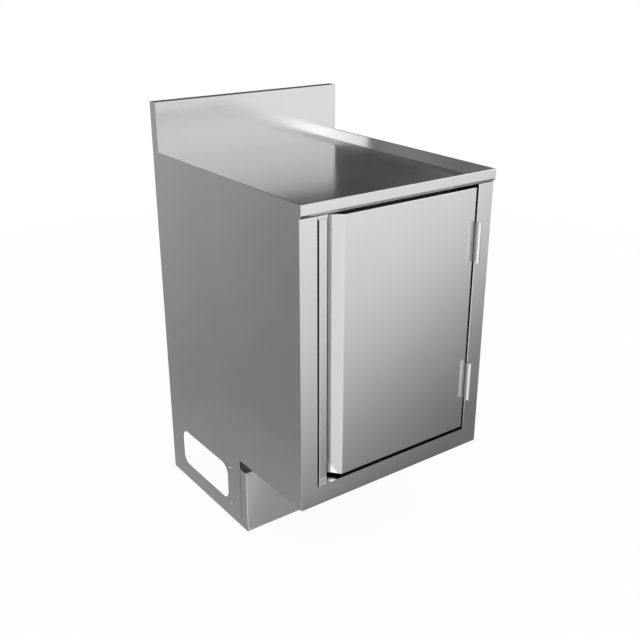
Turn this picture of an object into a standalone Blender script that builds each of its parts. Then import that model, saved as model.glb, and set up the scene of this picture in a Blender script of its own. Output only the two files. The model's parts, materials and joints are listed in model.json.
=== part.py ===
"""Stainless steel underbar cabinet with a dished worktop, an upstand and one hinged door.

Metres, +Z up. The origin is on the floor, in the middle of the object's box. The front faces -Y.
"""
import math

import bmesh
import bpy
from mathutils import Matrix, Vector

MM = 0.001

# Overall sizes
WIDTH = 450 * MM
DEPTH = 530 * MM
WORK_HEIGHT = 750 * MM
UPSTAND_HEIGHT = 100 * MM
UPSTAND_DEPTH = 24 * MM

# Sheet metal, bends and gaps
SHEET = 1.2 * MM
BEND = 1.4 * MM
SEAM = 0.1 * MM
FIT = 0.3 * MM
BEND_STEPS = 4
CORNER_STEPS = 8
ROUND_STEPS = 24
SHARP_ANGLE = math.radians(30)
MERGE = 0.002 * MM

# Worktop
RIM_FLAT = 3.5 * MM
RIM_BEND = 1.4 * MM
DISH_DEPTH = 18 * MM
DISH_BEND = 4 * MM
NOSE_RIM = 5 * MM
NOSE_HEIGHT = 18.4 * MM
NOSE_BEND = 1.4 * MM
CHAMFER_DROP = 5.6 * MM
NOSE_RETURN = 14 * MM
STIFFENER_DEPTH = 40 * MM
STIFFENER_WIDTH = 40 * MM
FRONT_STIFFENER_SETBACK = 46 * MM
REAR_STIFFENER_SETBACK = 330 * MM

# Upstand and back
UPSTAND_APRON = 20 * MM
UPSTAND_BACK_DROP = 30 * MM
REAR_FLANGE = 18 * MM

# Front frame
FRAME_SETBACK = 4.5 * MM
FRAME_GAP = 1 * MM
STILE_WIDTH = 37.5 * MM
STILE_RETURN = 26 * MM
STILE_RELIEF = 0.5 * MM
RAIL_BOTTOM = 162 * MM
RAIL_HEIGHT = 39.5 * MM
RAIL_BEND = 0.3 * MM
RAIL_LIP = 15 * MM
TAB_HEIGHT = 7.5 * MM
TAB_WIDTH = 21 * MM
TAB_RETURN = 28 * MM
CHANNEL_GAP = 10.5 * MM
CHANNEL_WIDTH = 18 * MM
CHANNEL_SETBACK = 10 * MM
CHANNEL_LEG = 20 * MM
CHANNEL_BEND = 2 * MM

# Storage space
BASE_FLANGE = 25 * MM
SHELF_HEIGHT = 253.5 * MM
SHELF_SETBACK = 90 * MM
SHELF_LIP = 20 * MM
SHELF_CLEARANCE = 2.5 * MM
LEDGE = 20 * MM

# Feet, cut-outs and kick plate
NOTCH_DEPTH = 228.5 * MM
FOOT_FLANGE = 20 * MM
CUTOUT_FROM_NOTCH = 51 * MM
CUTOUT_FROM_BACK = 51.5 * MM
CUTOUT_HEIGHT = 86 * MM
CUTOUT_FROM_FLOOR = 37.5 * MM
CUTOUT_RADIUS = 23 * MM
KICK_RETURN = 23.5 * MM
KICK_GAP = 20.5 * MM
KICK_JOINT = 2 * MM
KICK_BEND = 3 * MM
KICK_LEDGE = 60 * MM
BRACKET_THICKNESS = 2 * MM
BRACKET_FROM_FLOOR = 18 * MM
BRACKET_BELOW_KICK = 5 * MM
RIVET_TO_CUTOUT = 11.5 * MM
RIVET_TO_EDGE = 7.5 * MM
RIVET_FROM_FLOOR = 36.5 * MM
RIVET_BELOW_KICK = 17 * MM
RIVET_HEAD = 5.5 * MM
RIVET_HEAD_HEIGHT = 1.4 * MM
RIVET_SHANK = 3.2 * MM
RIVET_TAIL = 1.6 * MM

# Door and pull
DOOR_DEPTH = 22 * MM
DOOR_BEND = 2.4 * MM
DOOR_GAP_BOTTOM = 6 * MM
DOOR_GAP_TOP = 6.9 * MM
PULL_CLEARANCE = 9.5 * MM
PULL_RUN = 18 * MM
LINER_FIT = 0.5 * MM
CORE_CLEARANCE = 1 * MM

# Hinges
HINGE_GAP = 4.5 * MM
HINGE_PROUD = 10 * MM
HINGE_LENGTH = 80 * MM
HINGE_INSET = 67.5 * MM
BARREL = 8 * MM
PIN = 4.6 * MM
PIN_CLEARANCE = 0.15 * MM
PIN_INSET = 1 * MM
LEAF = 1.5 * MM
LEAF_LENGTH = 19 * MM

# Magnetic catch
CATCH_FROM_PULL = 60 * MM
CATCH_WIDTH = 44 * MM
CATCH_HEIGHT = 16 * MM
CATCH_WALL = 2 * MM
CATCH_ABOVE_STIFFENER_BASE = 2 * MM
STRIKE_THICKNESS = 1.5 * MM
STRIKE_MARGIN = 3 * MM
MAGNET_PROUD = 0.5 * MM
STRIKE_GAP = 0.4 * MM

# Places worked out from the sizes
LEFT = -WIDTH / 2
RIGHT = WIDTH / 2
BARREL_REACH = HINGE_PROUD + BARREL / 2 - FRAME_SETBACK
BACK = (DEPTH + BARREL_REACH) / 2
NOSE = BACK - DEPTH
FRAME = NOSE + FRAME_SETBACK
UPSTAND = BACK - UPSTAND_DEPTH
TOP = WORK_HEIGHT + UPSTAND_HEIGHT
DISH_FLOOR = WORK_HEIGHT - DISH_DEPTH
NOSE_BOTTOM = WORK_HEIGHT - NOSE_HEIGHT
OPENING_TOP = NOSE_BOTTOM - CHAMFER_DROP
FRAME_TOP = OPENING_TOP - FRAME_GAP
SILL = RAIL_BOTTOM + RAIL_HEIGHT
BASE = SILL - SHEET - FIT
INNER_LEFT = LEFT + SHEET
INNER_RIGHT = RIGHT - SHEET
OPENING_LEFT = LEFT + STILE_WIDTH
OPENING_RIGHT = RIGHT - STILE_WIDTH
CHANNEL_LEFT = OPENING_LEFT + CHANNEL_GAP
CHANNEL_RIGHT = CHANNEL_LEFT + CHANNEL_WIDTH
CHANNEL_FRONT = FRAME + CHANNEL_SETBACK
CHANNEL_BACK = CHANNEL_FRONT + CHANNEL_LEG
NOTCH = NOSE + NOTCH_DEPTH
KICK = NOTCH - KICK_RETURN
KICK_TOP = RAIL_BOTTOM - KICK_GAP
CUTOUT_FRONT = NOTCH + CUTOUT_FROM_NOTCH
CUTOUT_BACK = BACK - CUTOUT_FROM_BACK
RIVET_LINE = CUTOUT_FRONT - RIVET_TO_CUTOUT
RIVET_HEIGHTS = {"lower": RIVET_FROM_FLOOR, "upper": KICK_TOP - RIVET_BELOW_KICK}
UNDERSIDE = DISH_FLOOR - SHEET - FIT
STIFFENER_BASE = UNDERSIDE - STIFFENER_DEPTH
TAB_BOTTOM = FRAME_TOP - TAB_HEIGHT
DOOR_LEFT = CHANNEL_RIGHT + PULL_CLEARANCE + PULL_RUN
DOOR_RIGHT = OPENING_RIGHT - HINGE_GAP
DOOR_BOTTOM = SILL + DOOR_GAP_BOTTOM
DOOR_TOP = OPENING_TOP - DOOR_GAP_TOP
DOOR_BACK = FRAME + DOOR_DEPTH
PULL_LENGTH = math.hypot(PULL_RUN, DOOR_DEPTH)
AXIS_X = OPENING_RIGHT - HINGE_GAP / 2
AXIS_Y = FRAME - HINGE_PROUD
SHELF_TOP = BASE + SHELF_HEIGHT


# Outlines

def cross(a, b):
    """Turn from one flat direction to another, positive to the left."""
    return a.x * b.y - a.y * b.x


def flat(*pairs):
    """List of flat points from pairs of numbers."""
    return [Vector(pair) for pair in pairs]


def round_corners(path, radii, steps=BEND_STEPS):
    """Open path whose inner corners are replaced by arcs; a radius of zero keeps a corner sharp."""
    points = [path[0]]
    for before, corner, after, radius in zip(path, path[1:], path[2:], radii):
        if radius == 0:
            points.append(corner)
            continue
        back = (before - corner).normalized()
        ahead = (after - corner).normalized()
        half = back.angle(ahead) / 2
        centre = corner + (back + ahead).normalized() * radius / math.sin(half)
        spoke = corner + back * radius / math.tan(half) - centre
        turn = math.copysign(math.pi - 2 * half, cross(-back, ahead))
        for step in range(steps + 1):
            points.append(centre + Matrix.Rotation(turn * step / steps, 2) @ spoke)
    points.append(path[-1])
    return points


def round_loop(corners, radii, steps=BEND_STEPS):
    """Closed outline whose corners are replaced by arcs."""
    start = (corners[-1] + corners[0]) / 2
    return round_corners([start, *corners, start], radii, steps)[1:-1]


def offset_path(path, distance):
    """Open path moved to its left by a distance, with mitred corners."""
    sides = []
    for start, end in zip(path, path[1:]):
        direction = (end - start).normalized()
        sides.append(Vector((-direction.y, direction.x)))
    moved = [path[0] + sides[0] * distance]
    for corner, before, after in zip(path[1:], sides, sides[1:]):
        moved.append(corner + (before + after) * distance / (1 + before.dot(after)))
    moved.append(path[-1] + sides[-1] * distance)
    return moved


def bent_strip(path, radius=BEND, thickness=SHEET):
    """Closed outline of a bent sheet: one face is the path, the other lies to the path's left."""
    inside = max(radius - thickness, 0.0)
    near = []
    far = []
    for before, corner, after in zip(path, path[1:], path[2:]):
        turns_left = cross(corner - before, after - corner) > 0
        near.append(radius if turns_left else inside)
        far.append(inside if turns_left else radius)
    return round_corners(path, near) + round_corners(offset_path(path, thickness), far)[::-1]


def circle(centre, radius):
    """Closed round outline."""
    spoke = Vector((radius, 0))
    return [centre + Matrix.Rotation(math.tau * step / ROUND_STEPS, 2) @ spoke for step in range(ROUND_STEPS)]


def rectangle(low_a, high_a, low_b, high_b):
    """Closed four-cornered outline."""
    return flat((low_a, low_b), (high_a, low_b), (high_a, high_b), (low_a, high_b))


def mirrored(path):
    """Path on the other side of the object's middle plane, turned round so that its left stays its inside."""
    return [Vector((-point.x, point.y)) for point in reversed(path)]


# Solids and objects

def in_space(axis, point, along):
    """Point in space from a flat point and a distance along the axis that the outline is square to."""
    if axis == "X":
        return Vector((along, point[0], point[1]))
    if axis == "Y":
        return Vector((point[0], along, point[1]))
    return Vector((point[0], point[1], along))


def filled(axis, at, outline, holes=()):
    """Flat face with holes in it."""
    mesh = bmesh.new()
    edges = []
    for loop in (outline, *holes):
        verts = [mesh.verts.new(in_space(axis, point, at)) for point in loop]
        edges += [mesh.edges.new(pair) for pair in zip(verts, verts[1:] + verts[:1])]
    bmesh.ops.triangle_fill(mesh, use_beauty=True, edges=edges)
    return mesh


def draw_out(mesh, faces, reach):
    """Push faces out with walls behind them, and give back the pushed faces."""
    grown = bmesh.ops.extrude_face_region(mesh, geom=faces)["geom"]
    ends = [item for item in grown if isinstance(item, bmesh.types.BMVert)]
    bmesh.ops.translate(mesh, verts=ends, vec=reach)
    return [item for item in grown if isinstance(item, bmesh.types.BMFace)]


def prism(axis, low, high, outline, holes=()):
    """Outline drawn out along an axis into a closed solid."""
    mesh = filled(axis, low, outline, holes)
    draw_out(mesh, mesh.faces[:], in_space(axis, (0, 0), high - low))
    bmesh.ops.recalc_face_normals(mesh, faces=mesh.faces[:])
    return mesh


def surface(faces, outward, mesh=None):
    """Open surface of faces that share their edges; its first face looks outward."""
    mesh = mesh or bmesh.new()
    for face in faces:
        mesh.faces.new([mesh.verts.new(point) for point in face])
    bmesh.ops.remove_doubles(mesh, verts=mesh.verts[:], dist=MERGE)
    bmesh.ops.recalc_face_normals(mesh, faces=mesh.faces[:])
    mesh.faces.ensure_lookup_table()
    if mesh.faces[0].normal.dot(Vector(outward)) < 0:
        bmesh.ops.reverse_faces(mesh, faces=mesh.faces[:])
    return mesh


def turned(outline, centre, side):
    """Round solid about a line along X; the outline holds distances from the centre and radii."""
    mesh = bmesh.new()
    points = [centre + Vector((side * along, 0, radius)) for along, radius in outline]
    verts = [mesh.verts.new(point) for point in points]
    edges = [mesh.edges.new(pair) for pair in zip(verts, verts[1:])]
    bmesh.ops.spin(mesh, geom=verts + edges, cent=centre, axis=(1, 0, 0), angle=math.tau, steps=ROUND_STEPS)
    bmesh.ops.remove_doubles(mesh, verts=mesh.verts[:], dist=MERGE)
    bmesh.ops.recalc_face_normals(mesh, faces=mesh.faces[:])
    return mesh


def material(name, colour, roughness, metallic):
    """Plain surface finish."""
    finish = bpy.data.materials.new(name)
    finish.use_nodes = True
    shader = finish.node_tree.nodes["Principled BSDF"]
    shader.inputs["Base Color"].default_value = (*colour, 1)
    shader.inputs["Roughness"].default_value = roughness
    shader.inputs["Metallic"].default_value = metallic
    return finish


def piece(name, mesh, finish, parent=None):
    """Named object whose origin is the middle of its mesh."""
    corners = [Vector(pick(vert.co[axis] for vert in mesh.verts) for axis in range(3)) for pick in (min, max)]
    middle = (corners[0] + corners[1]) / 2
    bmesh.ops.translate(mesh, verts=mesh.verts[:], vec=-middle)
    data = bpy.data.meshes.new(name)
    mesh.to_mesh(data)
    mesh.free()
    data.materials.append(finish)
    data.shade_smooth()
    data.set_sharp_from_angle(angle=SHARP_ANGLE)
    item = bpy.data.objects.new(name, data)
    bpy.context.scene.collection.objects.link(item)
    item.location = middle
    if parent:
        item.parent = parent
        item.location = middle - parent.location
    return item


def thicken(item):
    """Give a surface the sheet's thickness, behind its outer side."""
    solid = item.modifiers.new("sheet", "SOLIDIFY")
    solid.thickness = SHEET
    solid.offset = -1
    solid.use_even_offset = True


def soften(item, radius):
    """Round the folds of a surface."""
    folds = item.modifiers.new("folds", "BEVEL")
    folds.width = radius
    folds.segments = BEND_STEPS
    folds.limit_method = "ANGLE"
    folds.angle_limit = SHARP_ANGLE


# Worktop and upstand

def dish_section():
    """Distances in from the outer edge, and heights, from the rim down to the dish floor."""
    corners = flat((SHEET + SEAM, WORK_HEIGHT), (RIM_FLAT, WORK_HEIGHT), (RIM_FLAT + DISH_DEPTH, DISH_FLOOR),
                   (RIM_FLAT + 2 * DISH_DEPTH, DISH_FLOOR))
    return round_corners(corners, (RIM_BEND, DISH_BEND))[:-1]


def nose_section(rim_start):
    """Positions from front to back, and heights, of the turned-down front edge."""
    corners = flat((FRAME + NOSE_RETURN, OPENING_TOP), (FRAME, OPENING_TOP), (NOSE, NOSE_BOTTOM),
                   (NOSE, WORK_HEIGHT), (rim_start, WORK_HEIGHT))
    return round_corners(corners, (BEND, BEND, NOSE_BEND))[:-1]


def make_worktop(finish):
    """Dished top: a grid of strips along the bends, with the slopes meeting on the diagonals."""
    section = dish_section()
    front = NOSE + NOSE_RIM - RIM_FLAT
    last = len(section) - 1
    columns = [(LEFT + point.x, index) for index, point in enumerate(section)]
    columns += [(RIGHT - point.x, index) for index, point in reversed(list(enumerate(section)))]
    rows = [(point.x, point.y, None) for point in nose_section(front + section[0].x)]
    rows += [(front + point.x, None, index) for index, point in enumerate(section)]
    rows.append((UPSTAND - SEAM, None, last))

    def corner(column, row):
        x, across = column
        y, height, along = row
        if height is None:
            height = section[min(across, along)].y
        return Vector((x, y, height))

    faces = []
    for row, next_row in zip(rows, rows[1:]):
        for column, next_column in zip(columns, columns[1:]):
            quad = [corner(column, row), corner(next_column, row), corner(next_column, next_row),
                    corner(column, next_row)]
            along = (row[2], next_row[2])
            if along == (column[1], next_column[1]) and along[0] != along[1]:
                faces += [[quad[0], quad[1], quad[2]], [quad[0], quad[2], quad[3]]]
            elif along == (next_column[1], column[1]) and along[0] != along[1]:
                faces += [[quad[1], quad[2], quad[3]], [quad[1], quad[3], quad[0]]]
            else:
                faces.append(quad)
    thicken(piece("worktop", surface(faces, (0, 0, -1)), finish))


def make_backsplash(finish):
    """Upstand folded over at the top, with its front sheet running down behind the worktop."""
    path = flat((BACK, WORK_HEIGHT - UPSTAND_BACK_DROP), (BACK, TOP), (UPSTAND, TOP),
                (UPSTAND, DISH_FLOOR - UPSTAND_APRON))
    piece("backsplash", prism("X", INNER_LEFT + SEAM, INNER_RIGHT - SEAM, bent_strip(path)), finish)


def make_stiffeners(finish):
    """Channels under the worktop, open side up."""
    for name, setback in (("front", FRONT_STIFFENER_SETBACK), ("rear", REAR_STIFFENER_SETBACK)):
        start = NOSE + setback
        end = start + STIFFENER_WIDTH
        path = flat((start, UNDERSIDE), (start, STIFFENER_BASE), (end, STIFFENER_BASE), (end, UNDERSIDE))
        outline = bent_strip(path)
        piece(f"stiffener_{name}", prism("X", INNER_LEFT + FIT, INNER_RIGHT - FIT, outline), finish)


# Side panels and back

def panel_outline():
    """Side view of the cabinet with toe notch, upstand and nose: places from front to back, and heights."""
    corners = flat((NOTCH, 0), (BACK, 0), (BACK, TOP), (UPSTAND, TOP), (UPSTAND, WORK_HEIGHT),
                   (NOSE, WORK_HEIGHT), (NOSE, NOSE_BOTTOM), (FRAME, OPENING_TOP), (FRAME, RAIL_BOTTOM),
                   (NOTCH, RAIL_BOTTOM))
    radii = (0, 0, BEND, BEND, 0, NOSE_BEND, BEND, BEND, 0, 0)
    return round_loop(corners, radii)


def panel_holes():
    """Service cut-out and rivet holes of a side panel."""
    top = CUTOUT_FROM_FLOOR + CUTOUT_HEIGHT
    corners = rectangle(CUTOUT_FRONT, CUTOUT_BACK, CUTOUT_FROM_FLOOR, top)
    return [round_loop(corners, [CUTOUT_RADIUS] * 4, CORNER_STEPS), *rivet_holes()]


def rivet_holes():
    """Clearance holes for the rivets."""
    radius = RIVET_SHANK / 2 + FIT
    return [circle(Vector((RIVET_LINE, height)), radius) for height in RIVET_HEIGHTS.values()]


def make_side_panels(finish):
    """Flat sides whose lower edge turns in under the cabinet as a foot."""
    for name, edge, side in (("left", LEFT, 1), ("right", RIGHT, -1)):
        flange = edge + side * FOOT_FLANGE
        foot = [Vector((edge, NOTCH, 0)), Vector((edge, BACK, 0)), Vector((flange, BACK, 0)),
                Vector((flange, NOTCH, 0))]
        face = filled("X", edge, panel_outline(), panel_holes())
        thicken(piece(f"{name}_side_panel", surface([foot], (-side, 0, 0), face), finish))


def make_rear_panel(finish):
    """Back sheet with its side edges folded forward."""
    edge = INNER_RIGHT - FIT
    path = flat((edge, BACK - REAR_FLANGE), (edge, BACK), (-edge, BACK), (-edge, BACK - REAR_FLANGE))
    top = WORK_HEIGHT - UPSTAND_BACK_DROP - SEAM
    piece("rear_panel", prism("Z", BASE + FIT, top, bent_strip(path)), finish)


# Front frame

def make_stiles(finish):
    """Uprights beside the opening: a flat face, and a return folded back above the sill."""
    low = SILL + STILE_RELIEF
    for name, outer, edge, side in (("left", INNER_LEFT + SEAM, OPENING_LEFT, 1),
                                    ("right", INNER_RIGHT - SEAM, OPENING_RIGHT, -1)):
        fold = edge - side * BEND
        face = [(outer, RAIL_BOTTOM), (edge, RAIL_BOTTOM), (edge, SILL), (fold, SILL), (fold, low),
                (fold, FRAME_TOP), (outer, FRAME_TOP)]
        faces = [[Vector((x, FRAME, z)) for x, z in face]]
        turn = round_corners(flat((fold, FRAME), (edge, FRAME), (edge, FRAME + STILE_RETURN)), (BEND,))[1:]
        foot = [in_space("Z", point, low) for point in turn]
        head = [in_space("Z", point, FRAME_TOP) for point in turn]
        faces += zip(foot, foot[1:], head[1:], head)
        thicken(piece(f"{name}_stile", surface(faces, (0, -1, 0)), finish))


def make_bottom_rail(finish):
    """Rail under the door, folded back into the sill and into a lip below."""
    path = flat((CHANNEL_BACK, SILL), (FRAME, SILL), (FRAME, RAIL_BOTTOM), (FRAME + RAIL_LIP, RAIL_BOTTOM))
    piece("bottom_rail", prism("X", OPENING_LEFT + SEAM, OPENING_RIGHT - SEAM, bent_strip(path, RAIL_BEND)), finish)


def make_recess(finish):
    """Set-back upright beside the pull, and the bracket that holds its upper end."""
    path = flat((CHANNEL_LEFT, CHANNEL_BACK), (CHANNEL_LEFT, CHANNEL_FRONT), (CHANNEL_RIGHT, CHANNEL_FRONT),
                (CHANNEL_RIGHT, CHANNEL_BACK))
    outline = bent_strip(path, CHANNEL_BEND)
    piece("recess_channel", prism("Z", SILL + FIT, TAB_BOTTOM - FIT, outline), finish)
    path = flat((FRAME, FRAME_TOP), (FRAME, TAB_BOTTOM), (FRAME + TAB_RETURN, TAB_BOTTOM))
    tab = prism("X", OPENING_LEFT + SEAM, OPENING_LEFT + TAB_WIDTH, bent_strip(path))
    piece("recess_bracket", tab, finish)


# Storage space

def make_base_shelf(finish):
    """Floor of the storage space, with its sides folded down."""
    edge = INNER_RIGHT - FIT
    low = BASE - BASE_FLANGE
    path = flat((edge, low), (edge, BASE), (-edge, BASE), (-edge, low))
    piece("base_shelf", prism("Y", FRAME + SHEET + BEND + FIT, BACK, bent_strip(path)), finish)


def make_inner_shelf(finish):
    """Middle shelf with folded edges, on an angle at each side."""
    front = NOSE + SHELF_SETBACK
    back = BACK - SHEET - FIT
    low = SHELF_TOP - SHELF_LIP
    path = flat((back, low), (back, SHELF_TOP), (front, SHELF_TOP), (front, low))
    edge = INNER_RIGHT - SHELF_CLEARANCE
    piece("inner_shelf", prism("X", -edge, edge, bent_strip(path)), finish)
    rest = SHELF_TOP - SHEET - FIT
    wall = INNER_LEFT + FIT
    ledge = flat((wall + LEDGE, rest), (wall, rest), (wall, rest - LEDGE))
    start = front + SHEET + BEND + FIT
    end = BACK - REAR_FLANGE - FIT - SHEET
    for name, path in (("left", ledge), ("right", mirrored(ledge))):
        piece(f"shelf_ledge_{name}", prism("Y", start, end, bent_strip(path)), finish)


# Plinth

def make_kick_plate(finish):
    """Plinth front with a return at each end, level with the sides, and a ledge running back between them."""
    end = NOTCH - KICK_JOINT
    back = KICK + KICK_LEDGE
    edge = INNER_RIGHT - FIT
    plan = round_corners(flat((LEFT, end), (LEFT, KICK), (RIGHT, KICK), (RIGHT, end)), (KICK_BEND, KICK_BEND))
    foot = [in_space("Z", point, 0) for point in plan]
    head = [in_space("Z", point, KICK_TOP) for point in plan]
    faces = list(zip(foot, foot[1:], head[1:], head))
    ledge = flat((edge, end), (edge, back), (-edge, back), (-edge, end))
    faces.append(head + [in_space("Z", point, KICK_TOP) for point in ledge])
    thicken(piece("kick_plate", surface(faces, (-1, 0, 0)), finish))


def make_kick_brackets(finish, rivet_finish):
    """Straps inside the feet that carry the plinth's returns, each held by two rivets."""
    outline = rectangle(KICK + KICK_BEND + FIT, RIVET_LINE + RIVET_TO_EDGE, BRACKET_FROM_FLOOR,
                        KICK_TOP - BRACKET_BELOW_KICK)
    reach = SHEET + FIT + BRACKET_THICKNESS
    head = RIVET_HEAD / 2
    shank = RIVET_SHANK / 2
    dome = [(-SEAM - RIVET_HEAD_HEIGHT * math.cos(angle), head * math.sin(angle))
            for angle in (math.pi / 2 * step / BEND_STEPS for step in range(BEND_STEPS + 1))]
    inner = reach + SEAM
    rivet = dome + [(-SEAM, shank), (inner, shank), (inner, head), (inner + RIVET_TAIL, shank),
                    (inner + RIVET_TAIL, 0)]
    for name, edge, side in (("left", LEFT, 1), ("right", RIGHT, -1)):
        low, high = sorted((edge + side * (SHEET + FIT), edge + side * reach))
        piece(f"kick_bracket_{name}", prism("X", low, high, outline, rivet_holes()), finish)
        for level, height in RIVET_HEIGHTS.items():
            centre = Vector((edge, RIVET_LINE, height))
            piece(f"kick_rivet_{name}_{level}", turned(rivet, centre, side), rivet_finish)


# Door

def pull_face(at, inset):
    """Position across the door of the slanted pull, set in by a distance, at a place from front to back."""
    return DOOR_LEFT - (at - FRAME) * PULL_RUN / DOOR_DEPTH + inset * PULL_LENGTH / DOOR_DEPTH


def make_door(outer, inner, core, axis):
    """Skin folded round all four edges, flat liner behind it and a filling between them."""
    plan = [(DOOR_LEFT, FRAME), (DOOR_RIGHT, FRAME), (DOOR_RIGHT, DOOR_BACK),
            (pull_face(DOOR_BACK, 0), DOOR_BACK)]
    low = [Vector((x, y, DOOR_BOTTOM)) for x, y in plan]
    high = [Vector((x, y, DOOR_TOP)) for x, y in plan]
    faces = [[low[0], low[1], high[1], high[0]], [low[1], low[2], high[2], high[1]],
             [low[3], low[0], high[0], high[3]], low, high]
    skin = piece("door_skin", surface(faces, (0, -1, 0)), outer, axis)
    soften(skin, DOOR_BEND)
    thicken(skin)
    rim = SHEET + LINER_FIT
    liner = rectangle(pull_face(DOOR_BACK - SHEET, rim), DOOR_RIGHT - rim, DOOR_BOTTOM + rim, DOOR_TOP - rim)
    piece("door_liner", prism("Y", DOOR_BACK - SHEET, DOOR_BACK, liner), inner, axis)
    front = FRAME + SHEET + FIT
    back = DOOR_BACK - SHEET - FIT
    rim = SHEET + CORE_CLEARANCE
    filling = flat((pull_face(front, rim), front), (DOOR_RIGHT - rim, front), (DOOR_RIGHT - rim, back),
                   (pull_face(back, rim), back))
    piece("door_core", prism("Z", DOOR_BOTTOM + rim, DOOR_TOP - rim, filling), core, axis)


def hinge_leaf(start, split, end, shape=list):
    """Leaf with a knuckle from its start to the split, and a plate behind the barrel over its full height."""
    place = Vector((AXIS_X, AXIS_Y))
    outside = HINGE_GAP / 2 - FIT
    inside = outside - LEAF
    radius = BARREL / 2
    plate_front = radius + FIT
    first = math.acos(outside / radius)
    last = math.acos(inside / radius) - math.tau
    angles = [first + (last - first) * step / ROUND_STEPS for step in range(ROUND_STEPS + 1)]
    rounded = [(radius * math.cos(angle), radius * math.sin(angle)) for angle in angles]
    knuckle = shape(flat((inside, plate_front), (outside, plate_front), *rounded))
    plate = shape(rectangle(inside, outside, plate_front, HINGE_PROUD + LEAF_LENGTH))
    mesh = filled("Z", start, [place + point for point in knuckle], [circle(place, PIN / 2 + PIN_CLEARANCE)])
    surface([[in_space("Z", place + point, start) for point in plate]], (0, 0, 1), mesh)
    ends = draw_out(mesh, mesh.faces[:], Vector((0, 0, split - start)))
    plate_ends = [face for face in ends if face.calc_center_median().y > AXIS_Y + plate_front]
    draw_out(mesh, plate_ends, Vector((0, 0, end - split)))
    bmesh.ops.delete(mesh, geom=plate_ends, context="FACES_ONLY")
    bmesh.ops.recalc_face_normals(mesh, faces=mesh.faces[:])
    return mesh


def make_hinges(finish, axis):
    """Two flag hinges: the lower knuckle is on the frame and holds the pin, the upper one is on the door."""
    for name, low in (("lower", DOOR_BOTTOM + HINGE_INSET), ("upper", DOOR_TOP - HINGE_INSET - HINGE_LENGTH)):
        split = low + HINGE_LENGTH / 2
        high = low + HINGE_LENGTH
        piece(f"hinge_frame_leaf_{name}", hinge_leaf(low, split - FIT / 2, high), finish)
        piece(f"hinge_door_leaf_{name}", hinge_leaf(high, split + FIT / 2, low, mirrored), finish, axis)
        pin = prism("Z", low + PIN_INSET, high - PIN_INSET, circle(Vector((AXIS_X, AXIS_Y)), PIN / 2))
        piece(f"hinge_pin_{name}", pin, finish)


def make_catch(housing_finish, magnet_finish, strike_finish, axis):
    """Magnetic catch on the front stiffener, and its strike on the door liner."""
    left = DOOR_LEFT + CATCH_FROM_PULL
    right = left + CATCH_WIDTH
    low = STIFFENER_BASE + CATCH_ABOVE_STIFFENER_BASE
    high = low + CATCH_HEIGHT
    strike_front = DOOR_BACK + FIT
    strike_back = strike_front + STRIKE_THICKNESS
    strike = rectangle(left - STRIKE_MARGIN, right + STRIKE_MARGIN, low, high)
    piece("catch_strike", prism("Y", strike_front, strike_back, strike), strike_finish, axis)
    face = strike_back + STRIKE_GAP
    mouth = face + MAGNET_PROUD
    back = NOSE + FRONT_STIFFENER_SETBACK - FIT
    floor = back - CATCH_WALL
    plan = flat((left, mouth), (left + CATCH_WALL, mouth), (left + CATCH_WALL, floor),
                (right - CATCH_WALL, floor), (right - CATCH_WALL, mouth), (right, mouth), (right, back),
                (left, back))
    piece("catch_housing", prism("Z", low, high, plan), housing_finish)
    inset = CATCH_WALL + FIT
    magnet = rectangle(left + inset, right - inset, face, floor - FIT)
    piece("catch_magnet", prism("Z", low, high, magnet), magnet_finish)


def build():
    """Whole cabinet."""
    for item in list(bpy.data.objects):
        bpy.data.objects.remove(item)
    satin = material("satin_steel", (0.60, 0.60, 0.59), 0.25, 1.0)
    plain = material("plain_steel", (0.50, 0.50, 0.49), 0.40, 1.0)
    bright = material("bright_steel", (0.70, 0.70, 0.69), 0.15, 1.0)
    plastic = material("catch_plastic", (0.80, 0.80, 0.78), 0.50, 0.0)
    magnetic = material("magnet", (0.12, 0.12, 0.12), 0.60, 0.0)
    foam = material("door_filling", (0.75, 0.70, 0.55), 0.90, 0.0)
    axis = bpy.data.objects.new("door_axis", None)
    bpy.context.scene.collection.objects.link(axis)
    axis.location = (AXIS_X, AXIS_Y, 0)

    make_worktop(satin)
    make_backsplash(satin)
    make_stiffeners(plain)
    make_side_panels(satin)
    make_rear_panel(plain)
    make_stiles(satin)
    make_bottom_rail(satin)
    make_recess(satin)
    make_base_shelf(plain)
    make_inner_shelf(plain)
    make_kick_plate(satin)
    make_kick_brackets(plain, bright)
    make_door(satin, plain, foam, axis)
    make_hinges(bright, axis)
    make_catch(plastic, magnetic, plain, axis)


build()
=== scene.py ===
import json
import math

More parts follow.
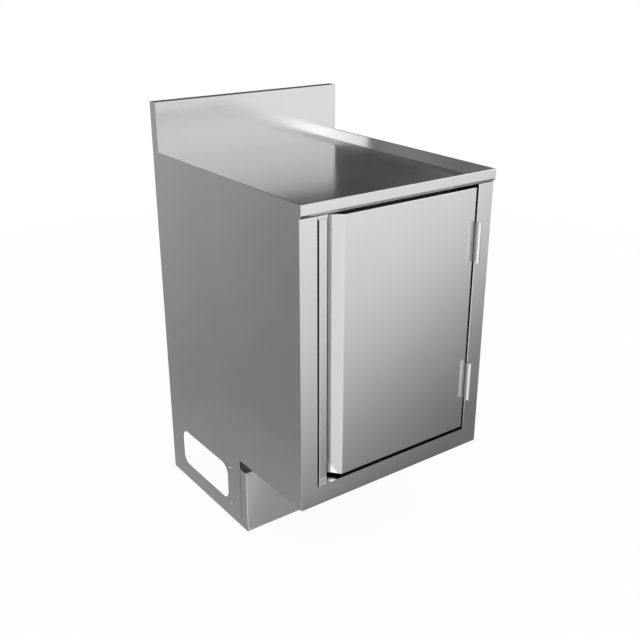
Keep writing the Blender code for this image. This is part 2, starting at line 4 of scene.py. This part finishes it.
import bmesh
import bpy
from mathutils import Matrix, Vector

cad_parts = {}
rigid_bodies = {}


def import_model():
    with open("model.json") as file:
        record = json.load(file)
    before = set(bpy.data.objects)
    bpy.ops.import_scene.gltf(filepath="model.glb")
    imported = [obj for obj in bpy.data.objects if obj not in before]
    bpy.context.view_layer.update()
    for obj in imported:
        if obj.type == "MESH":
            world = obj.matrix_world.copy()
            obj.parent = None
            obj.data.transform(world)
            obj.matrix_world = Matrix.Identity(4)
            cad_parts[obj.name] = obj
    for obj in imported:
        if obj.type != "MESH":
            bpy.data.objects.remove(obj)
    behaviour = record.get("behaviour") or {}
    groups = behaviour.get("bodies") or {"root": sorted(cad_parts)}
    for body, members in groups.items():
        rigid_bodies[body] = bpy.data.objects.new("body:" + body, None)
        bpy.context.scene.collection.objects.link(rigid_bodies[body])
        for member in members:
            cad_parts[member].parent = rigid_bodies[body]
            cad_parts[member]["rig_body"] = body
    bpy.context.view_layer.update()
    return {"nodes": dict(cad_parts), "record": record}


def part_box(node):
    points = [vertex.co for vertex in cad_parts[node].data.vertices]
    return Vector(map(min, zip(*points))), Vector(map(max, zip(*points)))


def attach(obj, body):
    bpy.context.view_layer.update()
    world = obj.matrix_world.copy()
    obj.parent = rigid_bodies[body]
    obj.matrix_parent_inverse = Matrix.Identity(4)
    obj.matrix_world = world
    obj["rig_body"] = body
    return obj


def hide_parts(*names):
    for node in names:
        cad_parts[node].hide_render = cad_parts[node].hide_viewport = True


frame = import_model()
RAIL_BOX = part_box("bottom_rail")

# Dressing of the sheet metal
EDGE_ROUND = 0.00025
EDGE_STEPS = 2
FLAT_WEIGHT = 100
MERGE = 0.00001
FLAT_ANGLE = math.radians(0.3)
EDGE_ANGLE = math.radians(35)
SEAM_REACH = 0.0005
KNUCKLE_REACH = 0.0042
FOLD_TILT = (0.1, 0.95)

# Camera
LENS = 50
SENSOR = 36
EYE = (-1.01916, -1.40504, 1.12737)
PITCH = math.radians(22.4925)
YAW = math.radians(36.0447)

# Floor, and glowing cards that paint reflections
FLOOR_COLOUR = (0.80, 0.80, 0.80)
FLOOR_WHITE = {"Is Camera Ray": 0.95, "Is Glossy Ray": 0.25, "Is Transmission Ray": 0.95}
FLOOR_NEAR = 0.9
FLOOR_FAR = 2.6
FLOOR_REACH = 12
CARD_LIFT = 0.0005
RAMP_MIDDLE = 0.5

# Grain and relief of the finishes
NOISE_MIDDLE = (0.3, 0.7)
STREAK = {"scale": 900, "detail": 2}
CLOUD = {"scale": 7, "detail": 4}
WAVE = {"scale": 3.5, "detail": 1}
ALONG = 0.012
GRAIN = {"X": (ALONG, 1, 1), "Y": (1, ALONG, 1), "Z": (1, 1, ALONG)}
STREAK_DEPTH = 0.00001
WAVE_DEPTH = 0.0002
MOULD_DEPTH = 0.0002
MOULD_DETAIL = 3
RELIEF = 0.3
STEEL_SHADE = 0.97
MOULD_SHADE = 0.85
STEEL_POLISH = 0.015
MOULD_POLISH = 0.06

# Finishes: name, grey level, roughness and direction of the grain
STEELS = {
    "front": ("satin_steel_front", 0.71, 0.17, "Z"),
    "side": ("satin_steel_side", 0.71, 0.20, "Z"),
    "top": ("satin_steel_top", 0.71, 0.17, "X"),
    # plain_steel: a duller inside finish, darkened further as painted shade inside the cabinet, seen through
    # the gaps
    "plain_steel": ("plain_steel", 0.38, 0.36, "X"),
    "bright_steel": ("bright_steel", 0.90, 0.11, "Z"),
    "leaf": ("hinge_leaf_steel", 0.36, 0.14, "Z"),
    # Painted shade: a near-black steel laid on the front stiffener and on the bottom rail's top fold
    "painted_shade": ("painted_shade_steel", 0.14, 0.5, "X"),
    "rivet": ("rivet_steel", 0.92, 0.45, "Z"),
}

# Finishes: colour, roughness and fineness of the grain
MOULDINGS = {
    "catch_plastic": ((0.80, 0.80, 0.77), 0.5, 900),
    "magnet": ((0.10, 0.10, 0.10), 0.6, 700),
    "door_filling": ((0.75, 0.70, 0.55), 0.9, 300),
}

# Soft boxes: place, target, width, height and radiance
LAMPS = {
    "front_soft_box": ((-0.65, -2.44, 2.68), (0, 0, 0.8), 2.5, 0.30, 1.92),
    "left_soft_box": ((-2.1, -1.5, 1.9), (0, 0, 0.5), 1.6, 1.6, 1.2),
    "right_soft_box": ((2.2, -1.1, 2.8), (0, 0, 0.7), 1.2, 1.2, 1.2),
}

# Glowing cards, painted reflections with painted shade that only the steel sees: corners, direction of the
# grading, and distances along it with their grey glow levels
LOW = CARD_LIFT
OVER = 2 * CARD_LIFT
GLOWING_REFLECTION_CARDS = {
    # Darker towards the cabinet's front: a painted shadow of the floor, seen only in the steel's reflections
    "front_card": (
        [(-0.275, -0.22, LOW), (4, -0.22, LOW), (4, -4.2, LOW), (1.02, -4.2, LOW)],
        (-0.41, -0.91, 0),
        [(0.05, 0.08), (0.26, 0.185), (0.4, 0.285), (0.51, 0.4), (0.62, 0.545), (0.8, 0.735),
         (0.98, 0.83), (1.16, 0.885), (1.34, 0.94), (1.93, 1.04)],
    ),
    # Dark strip just before the front: painted shade that darkens the chamfer under the nose
    "chamfer_card": (
        [(-0.2, -0.43, OVER), (1, -0.43, OVER), (1, -0.29, OVER), (-0.2, -0.29, OVER)],
        (1, 0, 0),
        [(-0.2, 0.02), (0.3, 0.02), (0.34, 0.1), (0.4, 0.4), (0.46, 0.42), (0.7, 0.4)],
    ),
    # Dim floor under the front overhang: painted shade that the kick plate mirrors
    "toe_card": (
        [(-0.215, -0.29, OVER), (0.2, -0.29, OVER), (0.2, -0.0555, OVER), (-0.215, -0.0555, OVER)],
        (-1, -0.93, 0),
        [(0.05, 0.3), (0.16, 0.36), (0.24, 0.38), (0.275, 0.42), (0.31, 0.52), (0.36, 0.58)],
    ),
    # Nearly black floor under the cabinet: painted shade that the rail and base mirror
    "under_card": (
        [(-0.22, -0.03, LOW), (0.22, -0.03, LOW), (0.22, 1.2, LOW), (-0.22, 1.2, LOW)],
        (0, 1, 0),
        [(-0.03, 0.12), (0.4, 0.12), (0.7, 0.2), (1.2, 0.3)],
    ),
    # Grey glow at the left, the left foot, the right and the rear: painted reflections of a dim surround
    "left_card": (
        [(-0.2, -0.05, LOW), (-0.2, 9, LOW), (-7, 9, LOW), (-7, -2.55, LOW)],
        (1, 1, 0),
        [(-0.26, 0.25), (-0.09, 0.25), (0.175, 0.285), (0.44, 0.318), (0.85, 0.37), (1.55, 0.41)],
    ),
    "foot_card": (
        [(-0.2, -0.045, OVER), (-0.2, 1.5, OVER), (-0.5, 1.5, OVER), (-0.5, -0.13, OVER)],
        (-1, 0, 0),
        [(0.225, 0.355), (0.3, 0.32), (0.376, 0.305), (0.45, 0.292), (0.5, 0.285)],
    ),
    "right_card": (
        [(0.3, -0.22, LOW), (7, -0.22, LOW), (7, 9, LOW), (0.3, 9, LOW)],
        (1, 0, 0),
        [(0.3, 0.3), (7, 0.4)],
    ),
    "rear_card": (
        [(-5, 3, 0.9), (5, 3, 0.9), (5, 3, 7), (-5, 3, 7)],
        (0.31, 0, 1),
        [(1.2, 0.17), (1.7, 0.13), (1.85, 0.08), (2.0, 0.12), (2.2, 0.12), (2.4, 0.05),
         (2.85, 0.05), (3.0, 0.29), (3.1, 0.34), (3.5, 0.21), (3.8, 0.165), (7, 0.2)],
    ),
    "rear_right_card": (
        [(0.5, 2.95, 2.9), (4, 2.95, 2.9), (4, 2.95, 5), (0.5, 2.95, 5)],
        (0, 0, 1),
        [(2.9, 0.11), (5, 0.13)],
    ),
    # Glow brighter than white high at the front right: a painted highlight for the worktop and backsplash,
    # which is no lamp
    "front_wall_card": (
        [(1.2, -4, 1.6), (6, -4, 1.6), (6, -4, 3.2), (1.2, -4, 3.2)],
        (0, 0, 1),
        [(1.6, 1.44), (1.75, 1.41), (1.89, 1.1), (2.05, 0.56), (2.3, 0.45), (3.2, 0.5)],
    ),
}


# Node helpers

def add(tree, kind, **values):
    """New shader node with some of its properties set."""
    node = tree.nodes.new(kind)
    for name, value in values.items():
        setattr(node, name, value)
    return node


def feed(tree, socket, source):
    """Set a socket to a constant, or link it to another node's output."""
    if isinstance(source, bpy.types.NodeSocket):
        tree.links.new(source, socket)
    else:
        socket.default_value = source


def noise(tree, scale, detail, place, stretch=(1, 1, 1)):
    """Noise over the object's own coordinates, drawn out along some of its axes."""
    mapping = add(tree, "ShaderNodeMapping")
    feed(tree, mapping.inputs["Vector"], place)
    mapping.inputs["Scale"].default_value = stretch
    texture = add(tree, "ShaderNodeTexNoise")
    feed(tree, texture.inputs["Vector"], mapping.outputs["Vector"])
    texture.inputs["Scale"].default_value = scale
    texture.inputs["Detail"].default_value = detail
    return texture.outputs["Fac"]


def spread(tree, source, low, high):
    """Numbers from the middle of a noise, spread between two limits."""
    node = add(tree, "ShaderNodeMapRange")
    feed(tree, node.inputs["Value"], source)
    node.inputs["From Min"].default_value = NOISE_MIDDLE[0]
    node.inputs["From Max"].default_value = NOISE_MIDDLE[1]
    node.inputs["To Min"].default_value = low
    node.inputs["To Max"].default_value = high
    return node.outputs["Result"]


def blended(tree, share, first, second, kind="MIX"):
    """Colour mixed from two colours."""
    node = add(tree, "ShaderNodeMix", data_type="RGBA", blend_type=kind)
    feed(tree, node.inputs[0], share)
    feed(tree, node.inputs[6], first)
    feed(tree, node.inputs[7], second)
    return node.outputs[2]


def bump(tree, height, distance, strength, before=None):
    """Surface relief from a height."""
    node = add(tree, "ShaderNodeBump")
    feed(tree, node.inputs["Height"], height)
    node.inputs["Distance"].default_value = distance
    node.inputs["Strength"].default_value = strength
    if before is not None:
        feed(tree, node.inputs["Normal"], before)
    return node.outputs["Normal"]


# Finishes

def steel(name, level, roughness, grain):
    """Stainless steel: faint grain along one axis, clouded polish and a sheet that isn't quite flat."""
    finish = bpy.data.materials.new(name)
    finish.use_nodes = True
    tree = finish.node_tree
    shader = tree.nodes["Principled BSDF"]
    place = add(tree, "ShaderNodeTexCoord").outputs["Object"]
    streaks = noise(tree, place=place, stretch=GRAIN[grain], **STREAK)
    clouds = noise(tree, place=place, **CLOUD)
    waves = noise(tree, place=place, **WAVE)
    dark = (level * STEEL_SHADE,) * 3
    tint = blended(tree, spread(tree, clouds, 0, 1), (*dark, 1), (level, level, level, 1))
    polish = add(tree, "ShaderNodeMath", operation="ADD")
    feed(tree, polish.inputs[0], spread(tree, clouds, roughness - STEEL_POLISH, roughness + STEEL_POLISH))
    feed(tree, polish.inputs[1], spread(tree, streaks, -STEEL_POLISH, STEEL_POLISH))
    relief = bump(tree, waves, WAVE_DEPTH, RELIEF)
    relief = bump(tree, streaks, STREAK_DEPTH, RELIEF, relief)
    feed(tree, shader.inputs["Base Color"], tint)
    feed(tree, shader.inputs["Roughness"], polish.outputs[0])
    feed(tree, shader.inputs["Normal"], relief)
    shader.inputs["Metallic"].default_value = 1
    return finish


def moulded(name, colour, roughness, grain_size):
    """Moulded or pressed material with a fine even grain."""
    finish = bpy.data.materials.new(name)
    finish.use_nodes = True
    tree = finish.node_tree
    shader = tree.nodes["Principled BSDF"]
    place = add(tree, "ShaderNodeTexCoord").outputs["Object"]
    grain = noise(tree, grain_size, MOULD_DETAIL, place)
    dark = tuple(part * MOULD_SHADE for part in colour)
    tint = blended(tree, spread(tree, grain, 0, 1), (*dark, 1), (*colour, 1))
    polish = spread(tree, grain, roughness - MOULD_POLISH, roughness + MOULD_POLISH)
    feed(tree, shader.inputs["Base Color"], tint)
    feed(tree, shader.inputs["Roughness"], polish)
    feed(tree, shader.inputs["Normal"], bump(tree, grain, MOULD_DEPTH, RELIEF))
    return finish


# Pieces

def close_seam(mesh, node):
    """Lengthen the bottom rail's copy so that it meets the uprights."""
    if node == "bottom_rail":
        gap = RAIL_BOX[0].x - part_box("left_stile")[1].x
        for vert in mesh.verts:
            if abs(vert.co.x) > RAIL_BOX[1].x - SEAM_REACH:
                vert.co.x += math.copysign(gap, vert.co.x)


def on_seam(edge):
    """Whether an edge lies in the joint between the bottom rail and an upright."""
    end = RAIL_BOX[1].x
    top = RAIL_BOX[1].z + SEAM_REACH
    return all(abs(abs(vert.co.x) - end) < SEAM_REACH and vert.co.z < top for vert in edge.verts)


def mark_edges(mesh):
    """Mark the edges that are rounded off: all sharp ones outside the frame's joints."""
    mark = mesh.edges.layers.float.new("bevel_weight_edge")
    for edge in mesh.edges:
        if edge.calc_face_angle(0) > EDGE_ANGLE and not on_seam(edge):
            edge[mark] = 1


def dressed(node, finish):
    """Copy of a solid with clean faces, softly rounded edges and its finish, in place of the plain solid."""
    source = frame["nodes"][node]
    mesh = bmesh.new()
    mesh.from_mesh(source.data)
    bmesh.ops.remove_doubles(mesh, verts=mesh.verts[:], dist=MERGE)
    bmesh.ops.dissolve_limit(mesh, angle_limit=FLAT_ANGLE, verts=mesh.verts[:], edges=mesh.edges[:])
    close_seam(mesh, node)
    mark_edges(mesh)
    data = bpy.data.meshes.new(f"{node}_dressed")
    mesh.to_mesh(data)
    mesh.free()
    if data.attributes.get("custom_normal"):
        data.attributes.remove(data.attributes["custom_normal"])
    data.shade_smooth()
    data.set_sharp_from_angle(angle=EDGE_ANGLE)
    data.materials.clear()
    data.materials.append(finish)
    item = bpy.data.objects.new(f"{node}_dressed", data)
    bpy.context.scene.collection.objects.link(item)
    edges = item.modifiers.new("edges", "BEVEL")
    edges.width = EDGE_ROUND
    edges.segments = EDGE_STEPS
    edges.limit_method = "WEIGHT"
    edges.use_clamp_overlap = True
    normals = item.modifiers.new("normals", "WEIGHTED_NORMAL")
    normals.weight = FLAT_WEIGHT
    normals.keep_sharp = True
    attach(item, source["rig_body"])
    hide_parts(node)
    return item


def dull_leaf(data, finish):
    """Give the flat of a hinge leaf a duller finish than its knuckles."""
    axis = Vector(frame["record"]["behaviour"]["joints"][0]["pos_m"])
    data.materials.append(finish)
    for face in data.polygons:
        reach = (face.center - axis).xy.length
        if reach > KNUCKLE_REACH:
            face.material_index = 1


def paint_fold_shade(data, finish):
    """Paint the fold along the top of the bottom rail near-black, a painted shade that hides the highlight
    on its rounded edge.
    """
    low, high = FOLD_TILT
    data.materials.append(finish)
    for face in data.polygons:
        if low < face.normal.z < high:
            face.material_index = 1


def dress_all():
    """Give every solid its finish."""
    slots = {entry["node"]: entry["material_slot"] for entry in frame["record"]["subparts"]}
    finishes = {kind: steel(*values) for kind, values in STEELS.items()}
    for name, values in MOULDINGS.items():
        finishes[name] = moulded(name, *values)
    turned = {"worktop": "top", "backsplash": "top", "left_side_panel": "side", "right_side_panel": "side"}
    for node, slot in slots.items():
        kind = turned.get(node, "front") if slot == "satin_steel" else slot
        if "rivet" in node:
            kind = "rivet"
        elif node == "stiffener_front":
            # The front stiffener is painted dark as shade, so that the gap above the door looks dark
            kind = "painted_shade"
        item = dressed(node, finishes[kind])
        if "leaf" in node:
            dull_leaf(item.data, finishes["leaf"])
        elif node == "bottom_rail":
            # The rail's top fold gets painted shade in place of its highlight
            paint_fold_shade(item.data, finishes["painted_shade"])


# Studio

def plane(name, corners, finish):
    """Four-cornered surface that isn't part of the object."""
    data = bpy.data.meshes.new(name)
    data.from_pydata(corners, [], [(0, 1, 2, 3)])
    data.materials.append(finish)
    item = bpy.data.objects.new(name, data)
    bpy.context.scene.collection.objects.link(item)
    return item


def graded(tree, place, direction, stops):
    """Grey level that follows the distance along a direction; the stops pair distances with levels."""
    along = add(tree, "ShaderNodeVectorMath", operation="DOT_PRODUCT")
    feed(tree, along.inputs[0], place)
    along.inputs[1].default_value = direction
    first = stops[0][0]
    last = stops[-1][0]
    share = add(tree, "ShaderNodeMapRange")
    feed(tree, share.inputs["Value"], along.outputs["Value"])
    share.inputs["From Min"].default_value = first
    share.inputs["From Max"].default_value = last
    ramp = add(tree, "ShaderNodeValToRGB")
    feed(tree, ramp.inputs["Fac"], share.outputs["Result"])
    points = ramp.color_ramp.elements
    for _ in stops[2:]:
        points.new(RAMP_MIDDLE)
    for point, (distance, level) in zip(points, stops):
        point.position = (distance - first) / (last - first)
        point.color = (level, level, level, 1)
    return ramp.outputs["Color"]


def glowing_reflection_card(name, corners, direction, stops):
    """Glowing card that only the steel's reflections see: a painted reflection graded in brightness, which
    is no lamp.
    """
    finish = bpy.data.materials.new(name)
    finish.use_nodes = True
    tree = finish.node_tree
    tree.nodes.clear()
    place = add(tree, "ShaderNodeTexCoord").outputs["Object"]
    glow = add(tree, "ShaderNodeEmission")
    feed(tree, glow.inputs["Color"], graded(tree, place, direction, stops))
    out = add(tree, "ShaderNodeOutputMaterial")
    feed(tree, out.inputs["Surface"], glow.outputs[0])
    item = plane(name, corners, finish)
    item.visible_camera = False
    item.visible_diffuse = False
    item.visible_transmission = False
    item.visible_shadow = False


def lamp(name, place, target, width, height, radiance):
    """Soft box of a given brightness, turned towards a point."""
    data = bpy.data.lights.new(name, "AREA")
    data.shape = "RECTANGLE"
    data.size = width
    data.size_y = height
    data.energy = radiance * math.pi * width * height
    item = bpy.data.objects.new(name, data)
    bpy.context.scene.collection.objects.link(item)
    item.location = place
    item.rotation_euler = (Vector(target) - Vector(place)).to_track_quat("-Z", "Y").to_euler()
    item.visible_camera = False


def make_room():
    """Even white light from all round."""
    world = bpy.data.worlds.new("room")
    world.use_nodes = True
    bpy.context.scene.world = world
    background = world.node_tree.nodes["Background"]
    background.inputs["Color"].default_value = (1, 1, 1, 1)
    background.inputs["Strength"].default_value = 1


def make_floor():
    """Pale floor that takes the object's shadow and runs out into white."""
    finish = bpy.data.materials.new("floor")
    finish.use_nodes = True
    tree = finish.node_tree
    tree.nodes.clear()
    matt = add(tree, "ShaderNodeBsdfDiffuse")
    matt.inputs["Color"].default_value = (*FLOOR_COLOUR, 1)
    rays = add(tree, "ShaderNodeLightPath")
    white = None
    for kind, level in FLOOR_WHITE.items():
        share = add(tree, "ShaderNodeMath", operation="MULTIPLY_ADD")
        feed(tree, share.inputs[0], rays.outputs[kind])
        share.inputs[1].default_value = level
        feed(tree, share.inputs[2], white or 0.0)
        white = share.outputs[0]
    place = add(tree, "ShaderNodeVectorMath", operation="LENGTH")
    feed(tree, place.inputs[0], add(tree, "ShaderNodeTexCoord").outputs["Object"])
    far = add(tree, "ShaderNodeMapRange", interpolation_type="SMOOTHSTEP")
    feed(tree, far.inputs["Value"], place.outputs["Value"])
    far.inputs["From Min"].default_value = FLOOR_NEAR
    far.inputs["From Max"].default_value = FLOOR_FAR
    total = add(tree, "ShaderNodeMath", operation="MAXIMUM")
    feed(tree, total.inputs[0], white)
    feed(tree, total.inputs[1], far.outputs["Result"])
    mix = add(tree, "ShaderNodeMixShader")
    feed(tree, mix.inputs[0], total.outputs[0])
    feed(tree, mix.inputs[1], matt.outputs[0])
    feed(tree, mix.inputs[2], add(tree, "ShaderNodeEmission").outputs[0])
    out = add(tree, "ShaderNodeOutputMaterial")
    feed(tree, out.inputs["Surface"], mix.outputs[0])
    reach = FLOOR_REACH
    plane("floor", [(-reach, -reach, 0), (reach, -reach, 0), (reach, reach, 0), (-reach, reach, 0)], finish)


def make_studio():
    """White room with a pale floor, three soft boxes and glowing cards that paint reflections and shade into
    the steel.
    """
    make_room()
    make_floor()
    for name, values in LAMPS.items():
        lamp(name, *values)
    for name, values in GLOWING_REFLECTION_CARDS.items():
        glowing_reflection_card(name, *values)


def make_camera():
    """Camera at the photograph's place."""
    data = bpy.data.cameras.new("camera")
    data.lens = LENS
    data.sensor_width = SENSOR
    data.sensor_fit = "HORIZONTAL"
    item = bpy.data.objects.new("camera", data)
    bpy.context.scene.collection.objects.link(item)
    item.location = EYE
    item.rotation_euler = (math.pi / 2 - PITCH, 0, -YAW)
    bpy.context.scene.camera = item


dress_all()
make_studio()
make_camera()
bpy.context.scene.view_settings.view_transform = "Standard"
